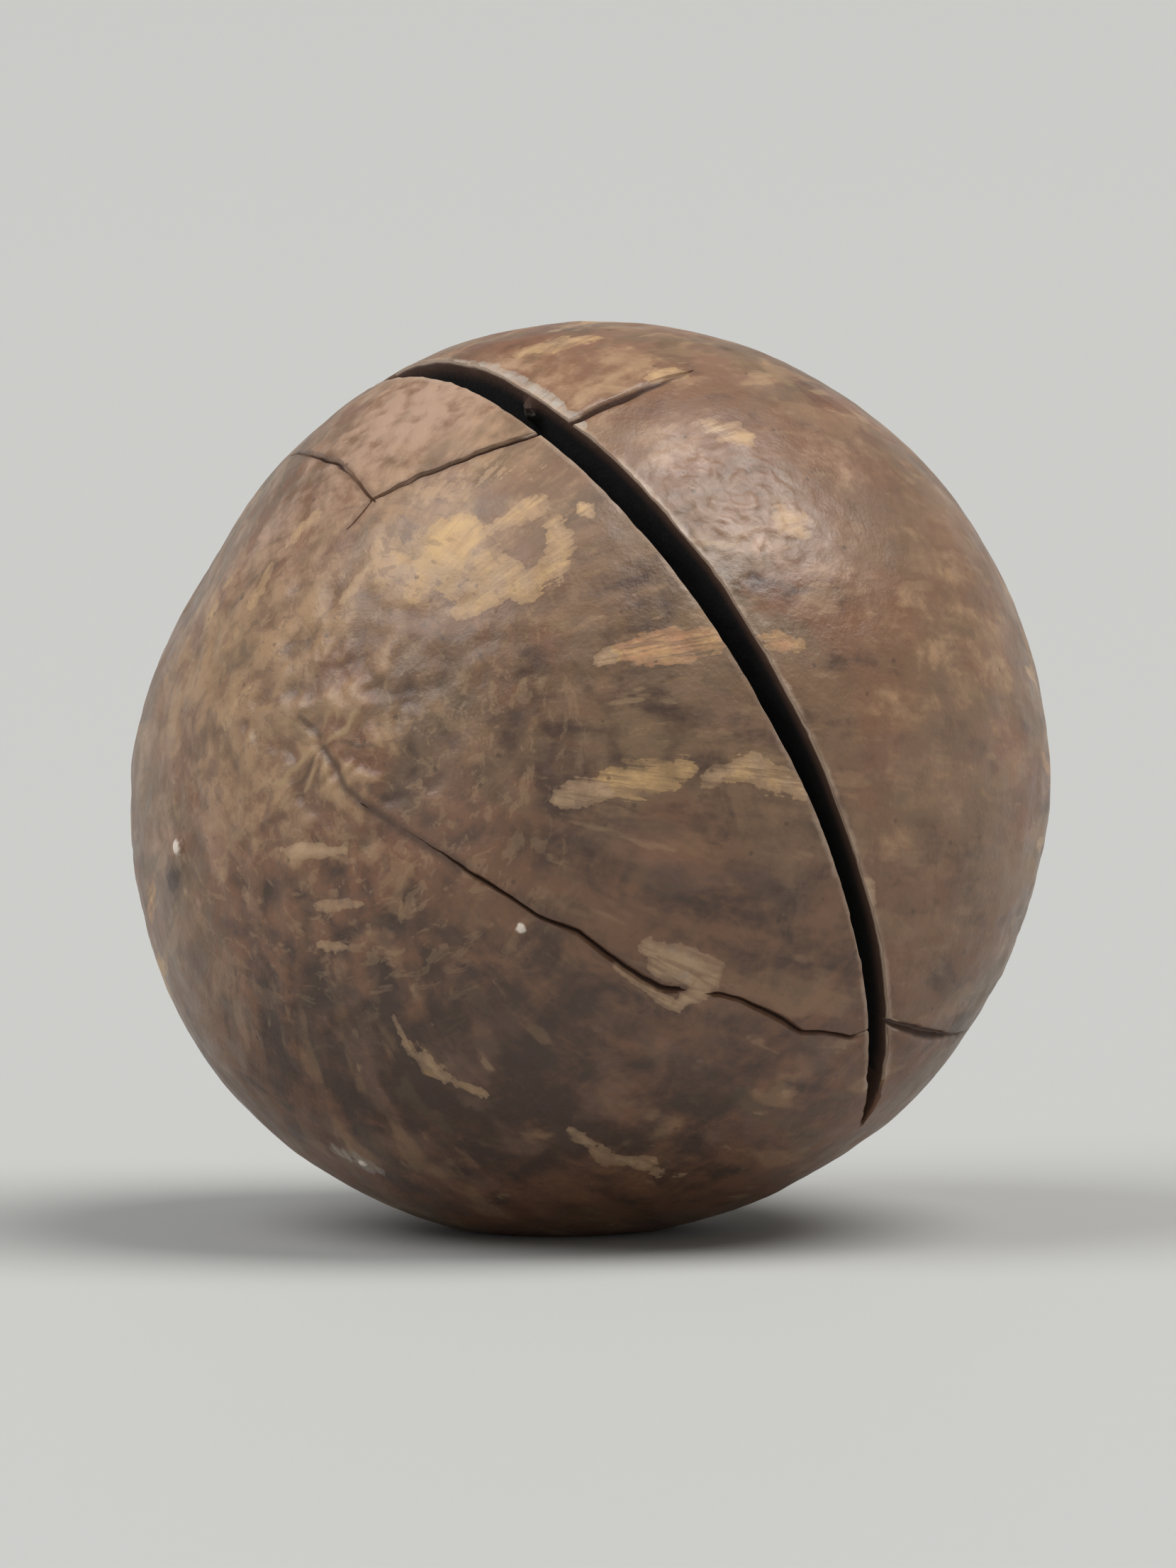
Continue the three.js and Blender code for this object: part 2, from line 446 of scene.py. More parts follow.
# %% Sweep a cutter
def swept_cutter(name, stations):
    """A closed bar. Each station is a direction and its ring of (side, depth) corners."""
    facings = np.array([direction for direction, ring in stations])
    heights = form_radius(facings)
    cutter = bmesh.new()
    rings = []
    for k, (direction, ring) in enumerate(stations):
        ahead = facings[min(k + 1, len(facings) - 1)] - facings[max(k - 1, 0)]
        across = unit(np.cross(ahead, direction))
        rings.append([cutter.verts.new(direction * (heights[k] - depth) + across * side)
                      for side, depth in ring])
    for ring, following in zip(rings, rings[1:]):
        for i in range(len(ring)):
            j = (i + 1) % len(ring)
            cutter.faces.new((ring[i], ring[j], following[j], following[i]))
    cutter.faces.new(rings[0])
    cutter.faces.new(rings[-1])
    bmesh.ops.triangulate(cutter, faces=cutter.faces[:])
    bmesh.ops.recalc_face_normals(cutter, faces=cutter.faces[:])
    mesh = bpy.data.meshes.new(name)
    cutter.to_mesh(mesh)
    cutter.free()
    bar = bpy.data.objects.new(name, mesh)
    bpy.context.scene.collection.objects.link(bar)
    print(name, "has", len(stations), "stations and", len(mesh.polygons), "triangles")
    return bar


def wobble(place, size, row):
    """Smooth noise along a line, with another row for each use"""
    row_spacing = 7.3
    return noise.noise(Vector((place / size, row * row_spacing, 0.5)))


# %% [markdown]
# ## The saw cut
# The blade was a thin disc, so the cut lies in one plane and runs out to nothing at both
# ends. Its walls are straight, with faint scores from the teeth. Its edges are where the eye
# goes: they are slightly broken, with a chip here and there, and more on one side.

# %% Size and place of the saw cut
cut_faces = facing(119.6, 24.4)
cut_off_centre = 0.41
cut_start, cut_end = -24, 146  # degrees round the cut from its highest point over the front
cut_width = 0.92
cut_low_width = 0.64  # the blade cut narrower lower down
cut_narrow_from, cut_narrow_to = 55, 100
cut_depth = 2.5
cut_run_out = 30  # degrees over which the blade leaves the nut at each end
cut_narrows_below = 0.75  # share of the full depth at which the cut starts to narrow
cut_end_width = 0.12  # share of the width that is left at the very ends
cut_floor_share = 0.85  # of the width, left at the floor of the cut
cut_steps = 260
clearance = 0.8  # how far a cutter stands out of the nut
top_of_cut = unit(np.array([0, 0, 1.0]) - cut_faces[2] * cut_faces)
over_front = np.cross(cut_faces, top_of_cut)
print("the cut is", cut_width, "mm wide and", cut_depth, "mm deep")

# %% The walls of the cut
# Depth of each level of the wall in mm, and the share of the bevel and the chips that is left
wall_levels = [(0.0, 1.0), (0.05, 0.45), (0.14, 0.1), (0.35, 0), (0.7, 0), (1.1, 0), (1.6, 0), (2.1, 0)]
cut_step_length = 0.145  # mm, for the noise along the edges
emergence = 0.1  # the bar clears the surface by this much at both ends of the cut
edge_bevel = 0.035
chip_sizes = {-1: 0.21, 1: 0.135}  # the edge on the side of the star is more broken
least_chip = 0.15
splinter_size = 0.045
wavers = [(0.03, 3, 9), (0.012, 1.1, 12)]  # height and length in mm, and row of the noise
score_depth = 0.012
flare = 0.5  # how much wider the bar is where it stands out of the nut
# One pale lump is left on the far wall of the cut
lump_height_in_cut = 0.28
lump_levels = (3, 4)
lump_reach = 1.6  # in steps
lump_seen_at = seen(-1.9, 10.4)
lump_turn = math.degrees(math.atan2(lump_seen_at @ over_front, lump_seen_at @ top_of_cut))
lump_step = (lump_turn - cut_start) / (cut_end - cut_start) * cut_steps


def edge_of_cut(along, side, share):
    """How far the edge is set back by its bevel, chips and splinters"""
    broken = max(0, wobble(along, 0.5, side) - least_chip) * chip_sizes[side]
    broken += max(0, wobble(along, 0.3, side + 4)) * splinter_size
    return (edge_bevel + broken) * min(1, share * 2)


def cut_ring(k, share, half_width):
    """The corners of the bar at step k, where the cut has so large a share of its depth"""
    along = k * cut_step_length
    floor = cut_depth * share - emergence
    sides = []
    for side in (-1, 1):
        edge = edge_of_cut(along, side, share)
        wall = half_width + sum(high * wobble(along, long, side + row) for high, long, row in wavers)
        corners = [(wall + edge + flare, -clearance)]
        for i, (level, left) in enumerate(wall_levels):
            depth = min(level, floor * i / len(wall_levels)) if floor > 0 else floor
            score = score_depth * wobble(along * 0.2 + level * 9, 1, side + 20)
            if side < 0 and i in lump_levels:
                score -= lump_height_in_cut * math.exp(-((k - lump_step) / lump_reach) ** 2)
            corners.append((wall + edge * left + score, depth))
        corners.append((half_width * cut_floor_share, floor))
        sides.append([(side * across, depth) for across, depth in corners])
    return sides[0] + sides[1][::-1]


print("the lump lies", round(lump_turn), "degrees round the cut from its top")


# %% Cut with the saw
def saw_cutter():
    """The bar of the saw cut, from where the blade went in to where it came out"""
    stations = []
    for k in range(cut_steps + 1):
        turn = cut_start + (cut_end - cut_start) * k / cut_steps
        share = math.sin(min(1, min(turn - cut_start, cut_end - turn) / cut_run_out) * math.pi / 2)
        angle = math.radians(turn)
        round_cut = top_of_cut * math.cos(angle) + over_front * math.sin(angle)
        direction = unit(shell_radius * round_cut + cut_off_centre * cut_faces)
        narrowing = min(1, cut_end_width + (1 - cut_end_width) * share / cut_narrows_below)
        width = np.interp(turn, (cut_narrow_from, cut_narrow_to), (cut_width, cut_low_width))
        stations.append((direction, cut_ring(k, share, width / 2 * narrowing)))
    return swept_cutter("saw_cutter", stations)


cutters = [saw_cutter()]

# %% [markdown]
# ## The cracks
# A crack is a thin wedge that wanders. Its course is given by a few places, and between
# them it is filled in with short steps that jitter to the side. Where a crack turns
# sharply, it is made as two, because a swept bar would fold over itself in the corner. Beyond
# the saw cut, where the shell gave way first, both cracks gape more. In one place a flake of
# skin still bridges the lower crack: there the bar is lifted clear of the nut.

# %% Courses of the cracks
# Places as degrees right of the front and above level
upper_left = [(-90, 48), (-72, 49), (-56, 48), (-44.8, 44.6), (-39.4, 42.4), (-38.6, 41.9)]
upper_right = [(-39.9, 42), (-39.4, 42.4), (-33.9, 45.3), (-24.7, 49.4), (-13.4, 53.3), (-3, 57.5),
               (7.9, 61.1), (23.2, 64.9), (36, 67)]
upper_branch = [(-39.4, 42.6), (-41, 39.5), (-41.9, 37.6)]
lower_crack = [(-29.4, 2.1), (-24.7, -0.7), (-15.8, -5.5), (-6.4, -11.4), (-1.2, -13.6),
               (4, -17.7), (9.6, -21.1), (18.2, -22.3), (24.6, -24.5), (32.2, -28.3), (41.4, -29.9),
               (47.8, -28), (56.3, -29.9), (74, -32.3), (86, -32)]
# Name, places, width, how much wider beyond the saw cut, depth and length of the taper, in mm
cracks = [
    ("crack_upper_left", upper_left, 0.14, 0.0, 0.18, 4.0),
    ("crack_upper_right", upper_right, 0.19, 0.9, 0.26, 2.5),
    ("crack_upper_branch", upper_branch, 0.11, 0.0, 0.1, 4.0),
    ("crack_lower", lower_crack, 0.14, 1.4, 0.24, 4.0),
]
print(len(cracks), "cracks are laid out")

# %% Cut the cracks
crack_step = 0.17
heading_steps = 3  # how many steps on and back give the heading
jitters = [(0.1, 1.3, 0), (0.05, 0.45, 1)]  # height and length in mm, and row of the noise
mean_width_share = 0.85
width_swing, width_swing_length = 0.6, 1.7
least_opening, least_depth = 0.1, 0.15  # shares that are left at the very ends
opening_pace = 1.6  # a crack has its full width that much sooner than its full depth
crack_shoulder = 0.05
crack_flare = 0.3  # how much wider the bar is where it stands out of the nut
opens_over = 0.4  # how far beyond the middle of the saw cut a crack has its full gape
bridge = seen(2.92, -5.57)
bridge_half = 0.36  # half the length of the bridge in mm
bridge_lift = 0.38


def on_bridge(d):
    """1 on the flake that bridges the lower crack, 0 away from it"""
    return np.exp(-(np.linalg.norm(d - bridge, axis=-1) * shell_radius / bridge_half) ** 4)


def crack_ring(half_width, depth, shoulder, lift):
    """The corners of a wedge with rounded shoulders, lifted off the nut by so much"""
    edge = [(half_width + crack_flare, -clearance), (half_width + shoulder, 0), (half_width * 0.9, 0.05),
            (half_width * 0.5, depth * 0.55), (half_width * 0.15, depth)]
    edge = [(across, deep - lift) for across, deep in edge]
    return [(-across, deep) for across, deep in edge] + edge[::-1]


def small_steps(places):
    """Directions a step apart along the line through the places"""
    ends = [facing(turn, rise) for turn, rise in places]
    line = []
    for a, b in zip(ends, ends[1:]):
        count = max(2, round(np.linalg.norm(b - a) * shell_radius / crack_step))
        line += [unit(a + (b - a) * k / count) for k in range(count)]
    return line + [ends[-1]]


def crack_cutter(name, places, width, gape, crack_depth, taper, row):
    """The bar of one crack, thin at both ends"""
    line = small_steps(places)
    last = len(line) - 1
    stations = []
    for k, direction in enumerate(line):
        along = k * crack_step
        ahead = line[min(k + heading_steps, last)] - line[max(k - heading_steps, 0)]
        across = unit(np.cross(ahead, direction))
        from_end = min(1, min(k, last - k) * crack_step / taper)
        shift = sum(high * wobble(along, long, row + more) for high, long, more in jitters)
        opening = least_opening + (1 - least_opening) * min(1, from_end * opening_pace)
        past_cut = (direction @ cut_faces * shell_radius - cut_off_centre) / opens_over
        swing = mean_width_share + width_swing * wobble(along, width_swing_length, row + 2)
        wide = width * swing * opening * (1 + gape * min(max(0, past_cut), 1))
        deep = crack_depth * (least_depth + (1 - least_depth) * from_end ** 2)
        direction = unit(direction * shell_radius + across * shift)
        lift = bridge_lift * on_bridge(direction)
        stations.append((direction, crack_ring(wide / 2, deep, crack_shoulder * opening, lift)))
    return swept_cutter(name, stations)


for row, crack in enumerate(cracks, 1):
    cutters.append(crack_cutter(*crack, row))

# %% [markdown]
# ## Take the cutters out
# A Boolean modifier takes one closed mesh out of another. The Manifold solver is quick and
# exact, and asks only that both are closed, which the ball and the bars are. What comes out is
# kept as a plain mesh without modifiers, so that more can be stored on its points.

# %% Take the cutters out of the nut
for cutter in cutters:
    cut = nut.modifiers.new(cutter.name, "BOOLEAN")
    cut.operation = "DIFFERENCE"
    cut.solver = "MANIFOLD"
    cut.object = cutter
bpy.context.view_layer.update()
cut_nut = nut.evaluated_get(bpy.context.evaluated_depsgraph_get())
cut_mesh = bpy.data.meshes.new_from_object(cut_nut)
nut.modifiers.clear()
nut.data = cut_mesh
for cutter in cutters:
    bpy.data.objects.remove(cutter)
print("after the cuts the nut has", len(cut_mesh.polygons), "faces")

# %% [markdown]
# ## How deep each point lies
# Colour in the cut depends on depth: pale raw shell on the broken edge, then dark, which is painted shade.
# The formula for the surface is known, so the depth of every point is the formula's radius less the point's
# own. It is stored on the mesh, where a material can read it. So are the direction from pole to pole, for
# streaks, and how near a point is to the cut and the cracks.

# %% Store depth
points = read_points(cut_mesh)
outward = directions(points)
below = shell_surface(outward) - np.linalg.norm(points, axis=1)


def store(name, values):
    """Keeps one number or one vector for each point of the nut, for the material to read"""
    kind, field = ("FLOAT_VECTOR", "vector") if values.ndim == 2 else ("FLOAT", "value")
    layer = cut_mesh.attributes.new(name, kind, "POINT")
    layer.data.foreach_set(field, values.astype(np.float32).ravel())


store("below", below)
print("the deepest point lies", round(float(below.max()), 2), "mm below the shell")

# %% Store the grain direction and the distance to the cut and the cracks
star_turn = np.arctan2(outward @ star_up, outward @ star_right)
star_along = np.arccos(np.clip(outward @ star_end, -1, 1)) * shell_radius
fibre = np.column_stack([np.cos(star_turn) * shell_radius, np.sin(star_turn) * shell_radius, star_along])
store("fibre", fibre)
turn_in_cut = np.degrees(np.arctan2(points @ over_front, points @ top_of_cut))
width_at_turn = np.interp(turn_in_cut, (cut_narrow_from, cut_narrow_to), (cut_width, cut_low_width))
beside_cut = np.abs(points @ cut_faces - cut_off_centre) - width_at_turn / 2
# Near its two ends the cut is too shallow to be painted, so there the distance grows fast
unpainted_start, unpainted_end = 10, 12  # degrees
before_cut = np.maximum(cut_start + unpainted_start - turn_in_cut, 0)
after_cut = np.maximum(turn_in_cut - cut_end + unpainted_end, 0)
store("beside_cut", beside_cut + before_cut + after_cut)
crack_paths = [[facing(*place) for place in crack[1]] for crack in cracks]
by_crack = np.min([near_path(outward, path) for path in crack_paths], axis=0)
bridge_left_unmarked = 0.3  # mm, added to the distance there
store("by_crack", by_crack + bridge_left_unmarked * on_bridge(outward))
store("groove", groove(outward))
print("a point is at most", round(float(star_along.max()), 1), "mm from the star, along the shell")

# %% [markdown]
# ## Flecks
# The shell is marked with tan flecks. They are stored as smooth fields, 1 in the middle of a fleck and 0 at
# its outline, and the material roughens the outline with fine noise. That way the marks stay crisp, however
# close the camera comes. A painted image could hold them too, but it would blur close up and need an
# unwrapping without seams. The flecks on the front are at their real places, which were read off.

# %% Flecks on the front
# Places as mm right of the middle and above it, half width in mm, strength, and how yellow
front_flecks = [
    ([(-5.4, 6.3), (-4.4, 6.0), (-3.2, 5.9), (-2.2, 5.7)], 1.1, 0.6, 0.6),
    ([(-3.75, 6.2), (-3.6, 6.7), (-3.3, 7.0)], 0.9, 1.9, 0.95),
    ([(-1.2, 7.6), (-1.9, 7.25), (-2.7, 6.9)], 0.38, 0.7, 0.5),
    ([(-4.4, 7.8), (-3.2, 8.3), (-2.0, 8.5)], 0.5, 0.25, 0.1),
    ([(-1.0, 7.3), (-0.75, 6.4), (-1.1, 5.6), (-2.0, 5.25), (-3.5, 4.7)], 0.45, 0.75, 0.6),
    ([(-0.17, 7.5), (0.05, 7.3)], 0.3, 1.2, 0.4),
    ([(-5.7, 6.6), (-5.0, 5.7)], 0.6, 0.6, 0.1),
    ([(-6.7, 5.0), (-6.1, 5.8)], 0.24, 1.2, 0.2),
    ([(0.3, 3.3), (0.9, 3.5)], 0.32, 1.2, 0.3),
    ([(0.8, 3.5), (2.1, 3.7), (3.9, 4.0)], 0.45, 1.15, 1.6),
    ([(4.5, 3.9), (5.8, 3.7)], 0.3, 0.9, 1.5),
    ([(-0.8, -0.4), (0.5, -0.15)], 0.42, 1.5, 0.15),
    ([(0.6, 0.0), (1.5, 0.15), (2.7, 0.3)], 0.5, 0.75, 0.9),
    ([(3.2, 0.1), (4.3, 0.4), (5.0, 0.2), (5.8, -0.1)], 0.46, 1.3, 0.45),
    ([(1.6, -4.4), (2.6, -4.8), (3.5, -4.95)], 0.42, 1.5, -0.3),
    ([(1.8, -4.9), (2.7, -5.3)], 0.4, 1.3, -0.4),
    ([(2.5, -5.95), (3.0, -5.55), (3.5, -5.05)], 0.36, 1.5, -0.1),
    ([(0.8, -4.9), (1.6, -5.5), (2.5, -6.05)], 0.2, 1.1, 0.1),
    ([(-5.2, -6.3), (-4.7, -7.2), (-3.6, -8.0), (-2.8, -8.4)], 0.24, 0.55, 0.3),
    ([(-0.5, -9.4), (0.3, -10.0), (1.4, -10.4), (2.5, -10.8)], 0.3, 0.55, 0.2),
    ([(3.4, 9.6), (4.2, 9.3)], 0.55, 1.1, 0.3),
    ([(5.3, 7.2), (5.7, 6.8)], 0.6, 1.1, 0.2),
    ([(-1.8, 11.6), (0.1, 12.0)], 0.5, 0.7, 0.6),
    ([(1.7, 10.9), (2.6, 11.1)], 0.3, 0.7, 0.6),
    ([(-8.2, -1.8), (-6.6, -1.8)], 0.22, 0.8, 0.1),
    ([(-7.3, -3.3), (-6.1, -3.2)], 0.22, 0.8, 0.1),
    ([(-7.2, -4.3), (-6.5, -4.4)], 0.18, 0.6, 0.1),
    ([(-6.6, -9.8), (-5.6, -10.3)], 0.5, 1.1, -1.0),
    ([(-10.6, 4.4), (-10.0, 5.6)], 0.35, 0.6, 0.5),
    ([(-9.3, 4.9), (-8.7, 6.0)], 0.3, 0.6, 0.6),
    ([(-9.9, 1.6), (-9.3, 2.6)], 0.3, 0.6, 0.4),
    ([(-8.3, 6.6), (-7.5, 7.4)], 0.35, 0.5, 0.3),
    ([(-4.4, 11.45), (-3.2, 11.35), (-2.0, 10.95), (-0.9, 10.25), (-0.2, 9.7)], 0.3, 1.0, -1.0),
    ([(5.2, 1.9), (5.9, 0.4)], 0.25, 0.5, -0.6), ([(7.5, -2.5), (7.75, -3.2)], 0.2, 1.1, -0.4),
]
print(len(front_flecks), "flecks on the front")

# %% Mark the flecks on the mesh
fleck = np.full(len(outward), -1.0)
yellow = np.full(len(outward), 0.5)
end_taper = 0.6  # share of the half width at both ends of a fleck


def spot(middle, spread):
    """1 at a place on the nut and less round it, a third at the spread in mm"""
    return np.exp(-(np.linalg.norm(outward - middle, axis=1) * shell_radius / spread) ** 2)


def add_fleck(path, half_width, strength, how_yellow):
    """Raises the fleck field to the strength along the path, falling to 0 at the half width"""
    for k, (a, b) in enumerate(zip(path, path[1:])):
        reach = np.linalg.norm(b - a) / 2 + 2 * half_width / shell_radius
        near = np.flatnonzero(np.linalg.norm(outward - (a + b) / 2, axis=1) < reach)
        share = np.clip((outward[near] - a) @ (b - a) / ((b - a) @ (b - a)), 0, 1)
        apart = np.linalg.norm(outward[near] - a - share[:, None] * (b - a), axis=1) * shell_radius
        from_start = (k + share) / (len(path) - 1)
        taper = end_taper + (1 - end_taper) * np.sin(from_start * math.pi)
        value = strength * (1 - apart / (half_width * taper))
        near, value = near[value > fleck[near]], value[value > fleck[near]]
        fleck[near] = value
        yellow[near] = how_yellow


for places, half_width, strength, how_yellow in front_flecks:
    add_fleck([seen(*place) for place in places], half_width, strength, how_yellow)
# Brown places inside the large fleck, each with its spread in mm
brown_inside = [((-1.8, 6.5), 0.4), ((-2.6, 7.5), 0.35)]
brown_strength = 1.3
for place, spread in brown_inside:
    fleck -= brown_strength * spot(seen(*place), spread)
print(round(100 * float((fleck > 0).mean()), 1), "% of the points lie in a fleck")

# %% [markdown]
# ## Flecks all round
# The rest of the nut gets flecks of the same kind. Real ones lie in loose clusters, a long one
# with a few short ones near it, and not evenly spread, so a random centre is drawn for each
# cluster first. They run along the lines from pole to pole, but round the pole with the star
# they lie across them. The scar has a ring of broad patches, as the shell was thin there.

# %% Paths of flecks
most_turned = 0.35  # how far a fleck turns away from its line at most, as a share
most_bent = 0.12  # of its length
front_limit = 0.3  # cosine of the angle to the camera, where the photographed side leaves off
scar_limit = 0.975  # cosine of the angle to the middle of the scar


def fleck_path(start, length, along_axis):
    """Three places on a slightly bent line, along the lines between the poles or round them"""
    to_pole = unit(star_end - (star_end @ start) * start)
    heading = to_pole if along_axis else np.cross(start, to_pole)
    heading = unit(heading + chance.uniform(-most_turned, most_turned) * np.cross(start, heading))
    bend = chance.uniform(-most_bent, most_bent) * length * np.cross(start, heading)
    reach = length / 2 / shell_radius
    middle = unit(start + bend / shell_radius)
    return [unit(start - heading * reach), middle, unit(start + heading * reach)]


def hidden(place):
    """True beyond the photographed side, except on the scar"""
    return place @ to_camera < front_limit and place @ scar_end < scar_limit


print("paths can be drawn for the hidden side")

# %% Flecks all round
cluster_count = 16
cluster_sizes = (2, 6)
cluster_spread = (0.05, 0.35)
large_fleck = ((1.5, 4.5), (0.4, 0.9))  # limits of the length and of the half width in mm
small_fleck = ((0.4, 1.8), (0.2, 0.4))
fleck_strengths = (0.4, 1.2)
fleck_yellows = (0, 1.6)
lies_across = 0.8  # cosine of the angle to the star, above which flecks lie across
clusters = 0
while clusters < cluster_count:
    centre = random_direction()
    if not hidden(centre):
        continue
    clusters += 1
    for k in range(chance.randint(*cluster_sizes)):
        start = unit(centre + random_direction() * chance.uniform(*cluster_spread))
        if not hidden(start):
            continue
        lengths, half_widths = large_fleck if k == 0 else small_fleck
        length, half_width = chance.uniform(*lengths), chance.uniform(*half_widths)
        path = fleck_path(start, length, start @ star_end < lies_across)
        add_fleck(path, half_width, chance.uniform(*fleck_strengths), chance.uniform(*fleck_yellows))
print(clusters, "clusters of flecks all round")

# %% Patches round the scar
patch_turns = (66, 337, 281, 20, 79, 251, 220)  # degrees round the scar
patch_distances = (0.27, 0.4)  # from the middle of the scar, as shares of the nut's radius
patch_lengths = (0.8, 1.8)
patch_half_widths = (0.6, 0.9)
patch_strengths = (0.9, 1.3)
patch_yellows = (0.3, 1.5)
for turn in patch_turns:
    angle = math.radians(turn)
    sideways = math.cos(angle) * scar_across + math.sin(angle) * scar_along
    start = unit(scar_end + sideways * chance.uniform(*patch_distances))
    path = fleck_path(start, chance.uniform(*patch_lengths), chance.random() < 0.5)
    half_width, strength = chance.uniform(*patch_half_widths), chance.uniform(*patch_strengths)
    add_fleck(path, half_width, strength, chance.uniform(*patch_yellows))
store("fleck", fleck)
store("yellow", yellow)
print(round(100 * float((fleck > 0).mean()), 1), "% of the points lie in a fleck or a patch")

# %% [markdown]
# ## Wide changes of tone, with painted light and shade
# Under its flecks, the shell already changes colour over wide areas. Each is a soft spot with a place, a
# spread, and how much lighter, redder and plainer it makes the shell. Some of the spots are painted light
# and shade: painted shade makes the bottom and the lower right darker and redder, painted light makes the
# upper left, both side edges and the highlight lighter, and one small dark spot is the painted shadow below
# the left crumb. Spots add up where they overlap, so two dozen of them are enough for the whole front.
# Beyond the front they fade out, and noise alone is left.

# %% Tones
# Place as mm right and above, spread in mm, then how much lighter, redder and plainer, painted light and
# shade among them
tone_and_light_spots = [
    ((-8.5, 4.5), 4.5, 0.5, 0.0, 0.0), ((-4, 7), 3.0, 0.35, 0.0, 0.0),
    ((-4, 1.5), 3.0, -0.35, -0.2, 0.0), ((2.5, 2), 3.5, -0.35, -0.5, 0.2),
    ((-2, -3), 5.0, -0.25, 0.0, 0.3), ((-3.5, -8.5), 5.5, -0.88, 1.5, 0.0),
    ((4, -9.0), 5.0, -0.55, 1.3, 0.0), ((-7.5, -5.5), 3.5, -0.4, 0.4, 0.0),
    ((9, 1), 4.5, 0.0, 0.0, 0.9), ((4, 8), 3.0, 0.15, 0.1, 0.3), ((0, 11.5), 2.5, 0.1, 0.5, 0.3),
    ((9, 6), 3.5, 0.1, 0.1, 0.7), ((9.4, 3.4), 0.8, 0.5, 0.0, 0.0), ((1.5, 6), 2.0, -0.5, -0.4, 0.5),
    ((5, -3), 4.0, -0.2, -0.1, 0.7), ((-4.5, 10.3), 2.8, 1.0, 0.3, 0.6), ((-11, 3), 2.5, 0.45, 0.0, 0.0),
    ((11, 4), 2.5, 0.15, 0.0, 0.6), ((11, -4), 3.0, -0.3, 0.0, 0.6), ((-8, 0.5), 2.5, 0.7, 0.2, 0.0),
    ((-11.2, -2.6), 0.6, -1.0, 0.0, 0.0), ((-3.7, -3.7), 2.5, 0.25, 0.5, 0.2),
    ((3.7, -7.5), 2.5, 0.15, 0.5, 0.2),
]
spots = [spot(seen(*place), spread) for place, spread, *amounts in tone_and_light_spots]
for i, name in enumerate(("tone_with_painted_light", "redder", "plainer"), 2):
    store(name, sum(tone[i] * share for tone, share in zip(tone_and_light_spots, spots)))
# Pink at the upper left and along the left edge is partly the shell's own tone and partly painted
# reflection; at the upper right it tints the painted highlight
pink_and_sheen_places = [((-4.5, 10.3), 3.0), ((4.5, 8.0), 3.5), ((-8.5, 7.5), 2.5), ((-11, -3), 3.0)]
store("pink_and_painted_sheen", np.minimum(sum(spot(seen(*place), spread) for place, spread in pink_and_sheen_places), 1))
print(len(tone_and_light_spots), "soft spots of tone")

# %% Streaks, star, folds and scar
# Between the poles the mottling is drawn out into streaks, but less so in two places
from_star = np.interp(star_along, (5, 9), (0, 1))  # mm from the star
from_scar = np.interp(star_along, (30, 35), (1, 0))
less_streaky = spot(seen(-1, -9.5), 6) + spot(seen(-5, 10), 3)
store("streaky", from_star * from_scar * (1 - 0.6 * less_streaky))
store("star", star_rise(outward))
# Height of the folds, which the material turns into painted shade and painted light
store("fold", wrinkles(outward) / highest_fold)
painted_border = (0.895, 1.02)  # shares of the scar's radius between which its paint ends
scar_share = np.interp(scar_place(outward)[0], painted_border, (1, 0))
on_strand = np.zeros(len(outward))
in_scar = np.flatnonzero(scar_share > 0)
on_strand[in_scar] = scar_strands(outward[in_scar])
store("scar", scar_share)
store("strand", on_strand)
print("the mesh carries", len(cut_mesh.attributes), "attributes")

# %% [markdown]
# ## The rest spot
# A nut rolls until a flatter place is under it. The lowest points are pressed flat, with a
# soft turn instead of a sharp rim, and then the nut is lifted until it rests at height 0.

# %% Press the rest spot flat and go to metres
press_softness = 0.04
crease = math.radians(38)  # a sharper fold than this keeps its edge
over_rest = (points[:, 2] + rest_height) / press_softness
points[:, 2] = np.logaddexp(0, over_rest) * press_softness
write_points(cut_mesh, points)
cut_mesh.transform(Matrix.Scale(0.001, 4))
for face in cut_mesh.polygons:
    face.use_smooth = True
cut_mesh.set_sharp_from_angle(angle=crease)
print("the nut spans", [round(float(v), 2) for v in np.ptp(points, axis=0)], "mm")

# %% [markdown]
# ## The finish of the shell
# The material is a chain of layers, as a painter would lay them: a brown made of two tones,
# mottling that runs from pole to pole, patches, tan flecks and dark pores, the star, the scar,
# and last the cut with its pale broken edge. Nodes are usually joined by hand in the Shader
# Editor. In a script, a helper that adds one node and joins its inputs keeps each layer to a
# line or two.

# %% Helpers for nodes
shell_finish = bpy.data.materials.new("waxy_brown_shell")
shell_finish.use_nodes = True
nodes, links = shell_finish.node_tree.nodes, shell_finish.node_tree.links


def add(kind, *inputs, **settings):
    """Adds a node. Inputs are values or sockets for its first sockets, and settings its fields."""
    node = nodes.new(kind)
    for name, value in settings.items():
        setattr(node, name, value)
    for socket, value in zip(node.inputs, inputs):
        join(socket, value)
    return node


def join(socket, value):
    """Gives a socket its value, or links it to the socket that the value comes from"""
    if isinstance(value, bpy.types.NodeSocket):
        links.new(value, socket)
    elif value is not None:
        socket.default_value = value


def math_node(operation, *values):
    """The result of one step of arithmetic"""
    return add("ShaderNodeMath", *values, operation=operation).outputs[0]


def times(a, b):
    return math_node("MULTIPLY", a, b)


print("helpers for adding and joining nodes are ready")


# %% Helpers for values, colours and noise
def ramp(value, low, high, to_low=0.0, to_high=1.0):
    """Smooth step of a value from low to high"""
    node = add("ShaderNodeMapRange", value, low, high, to_low, to_high)
    node.interpolation_type = "SMOOTHSTEP"
    return node.outputs[0]


def stored(name, output="Fac"):
    """What was stored on the points of the mesh under a name"""
    return add("ShaderNodeAttribute", attribute_name=name).outputs[output]


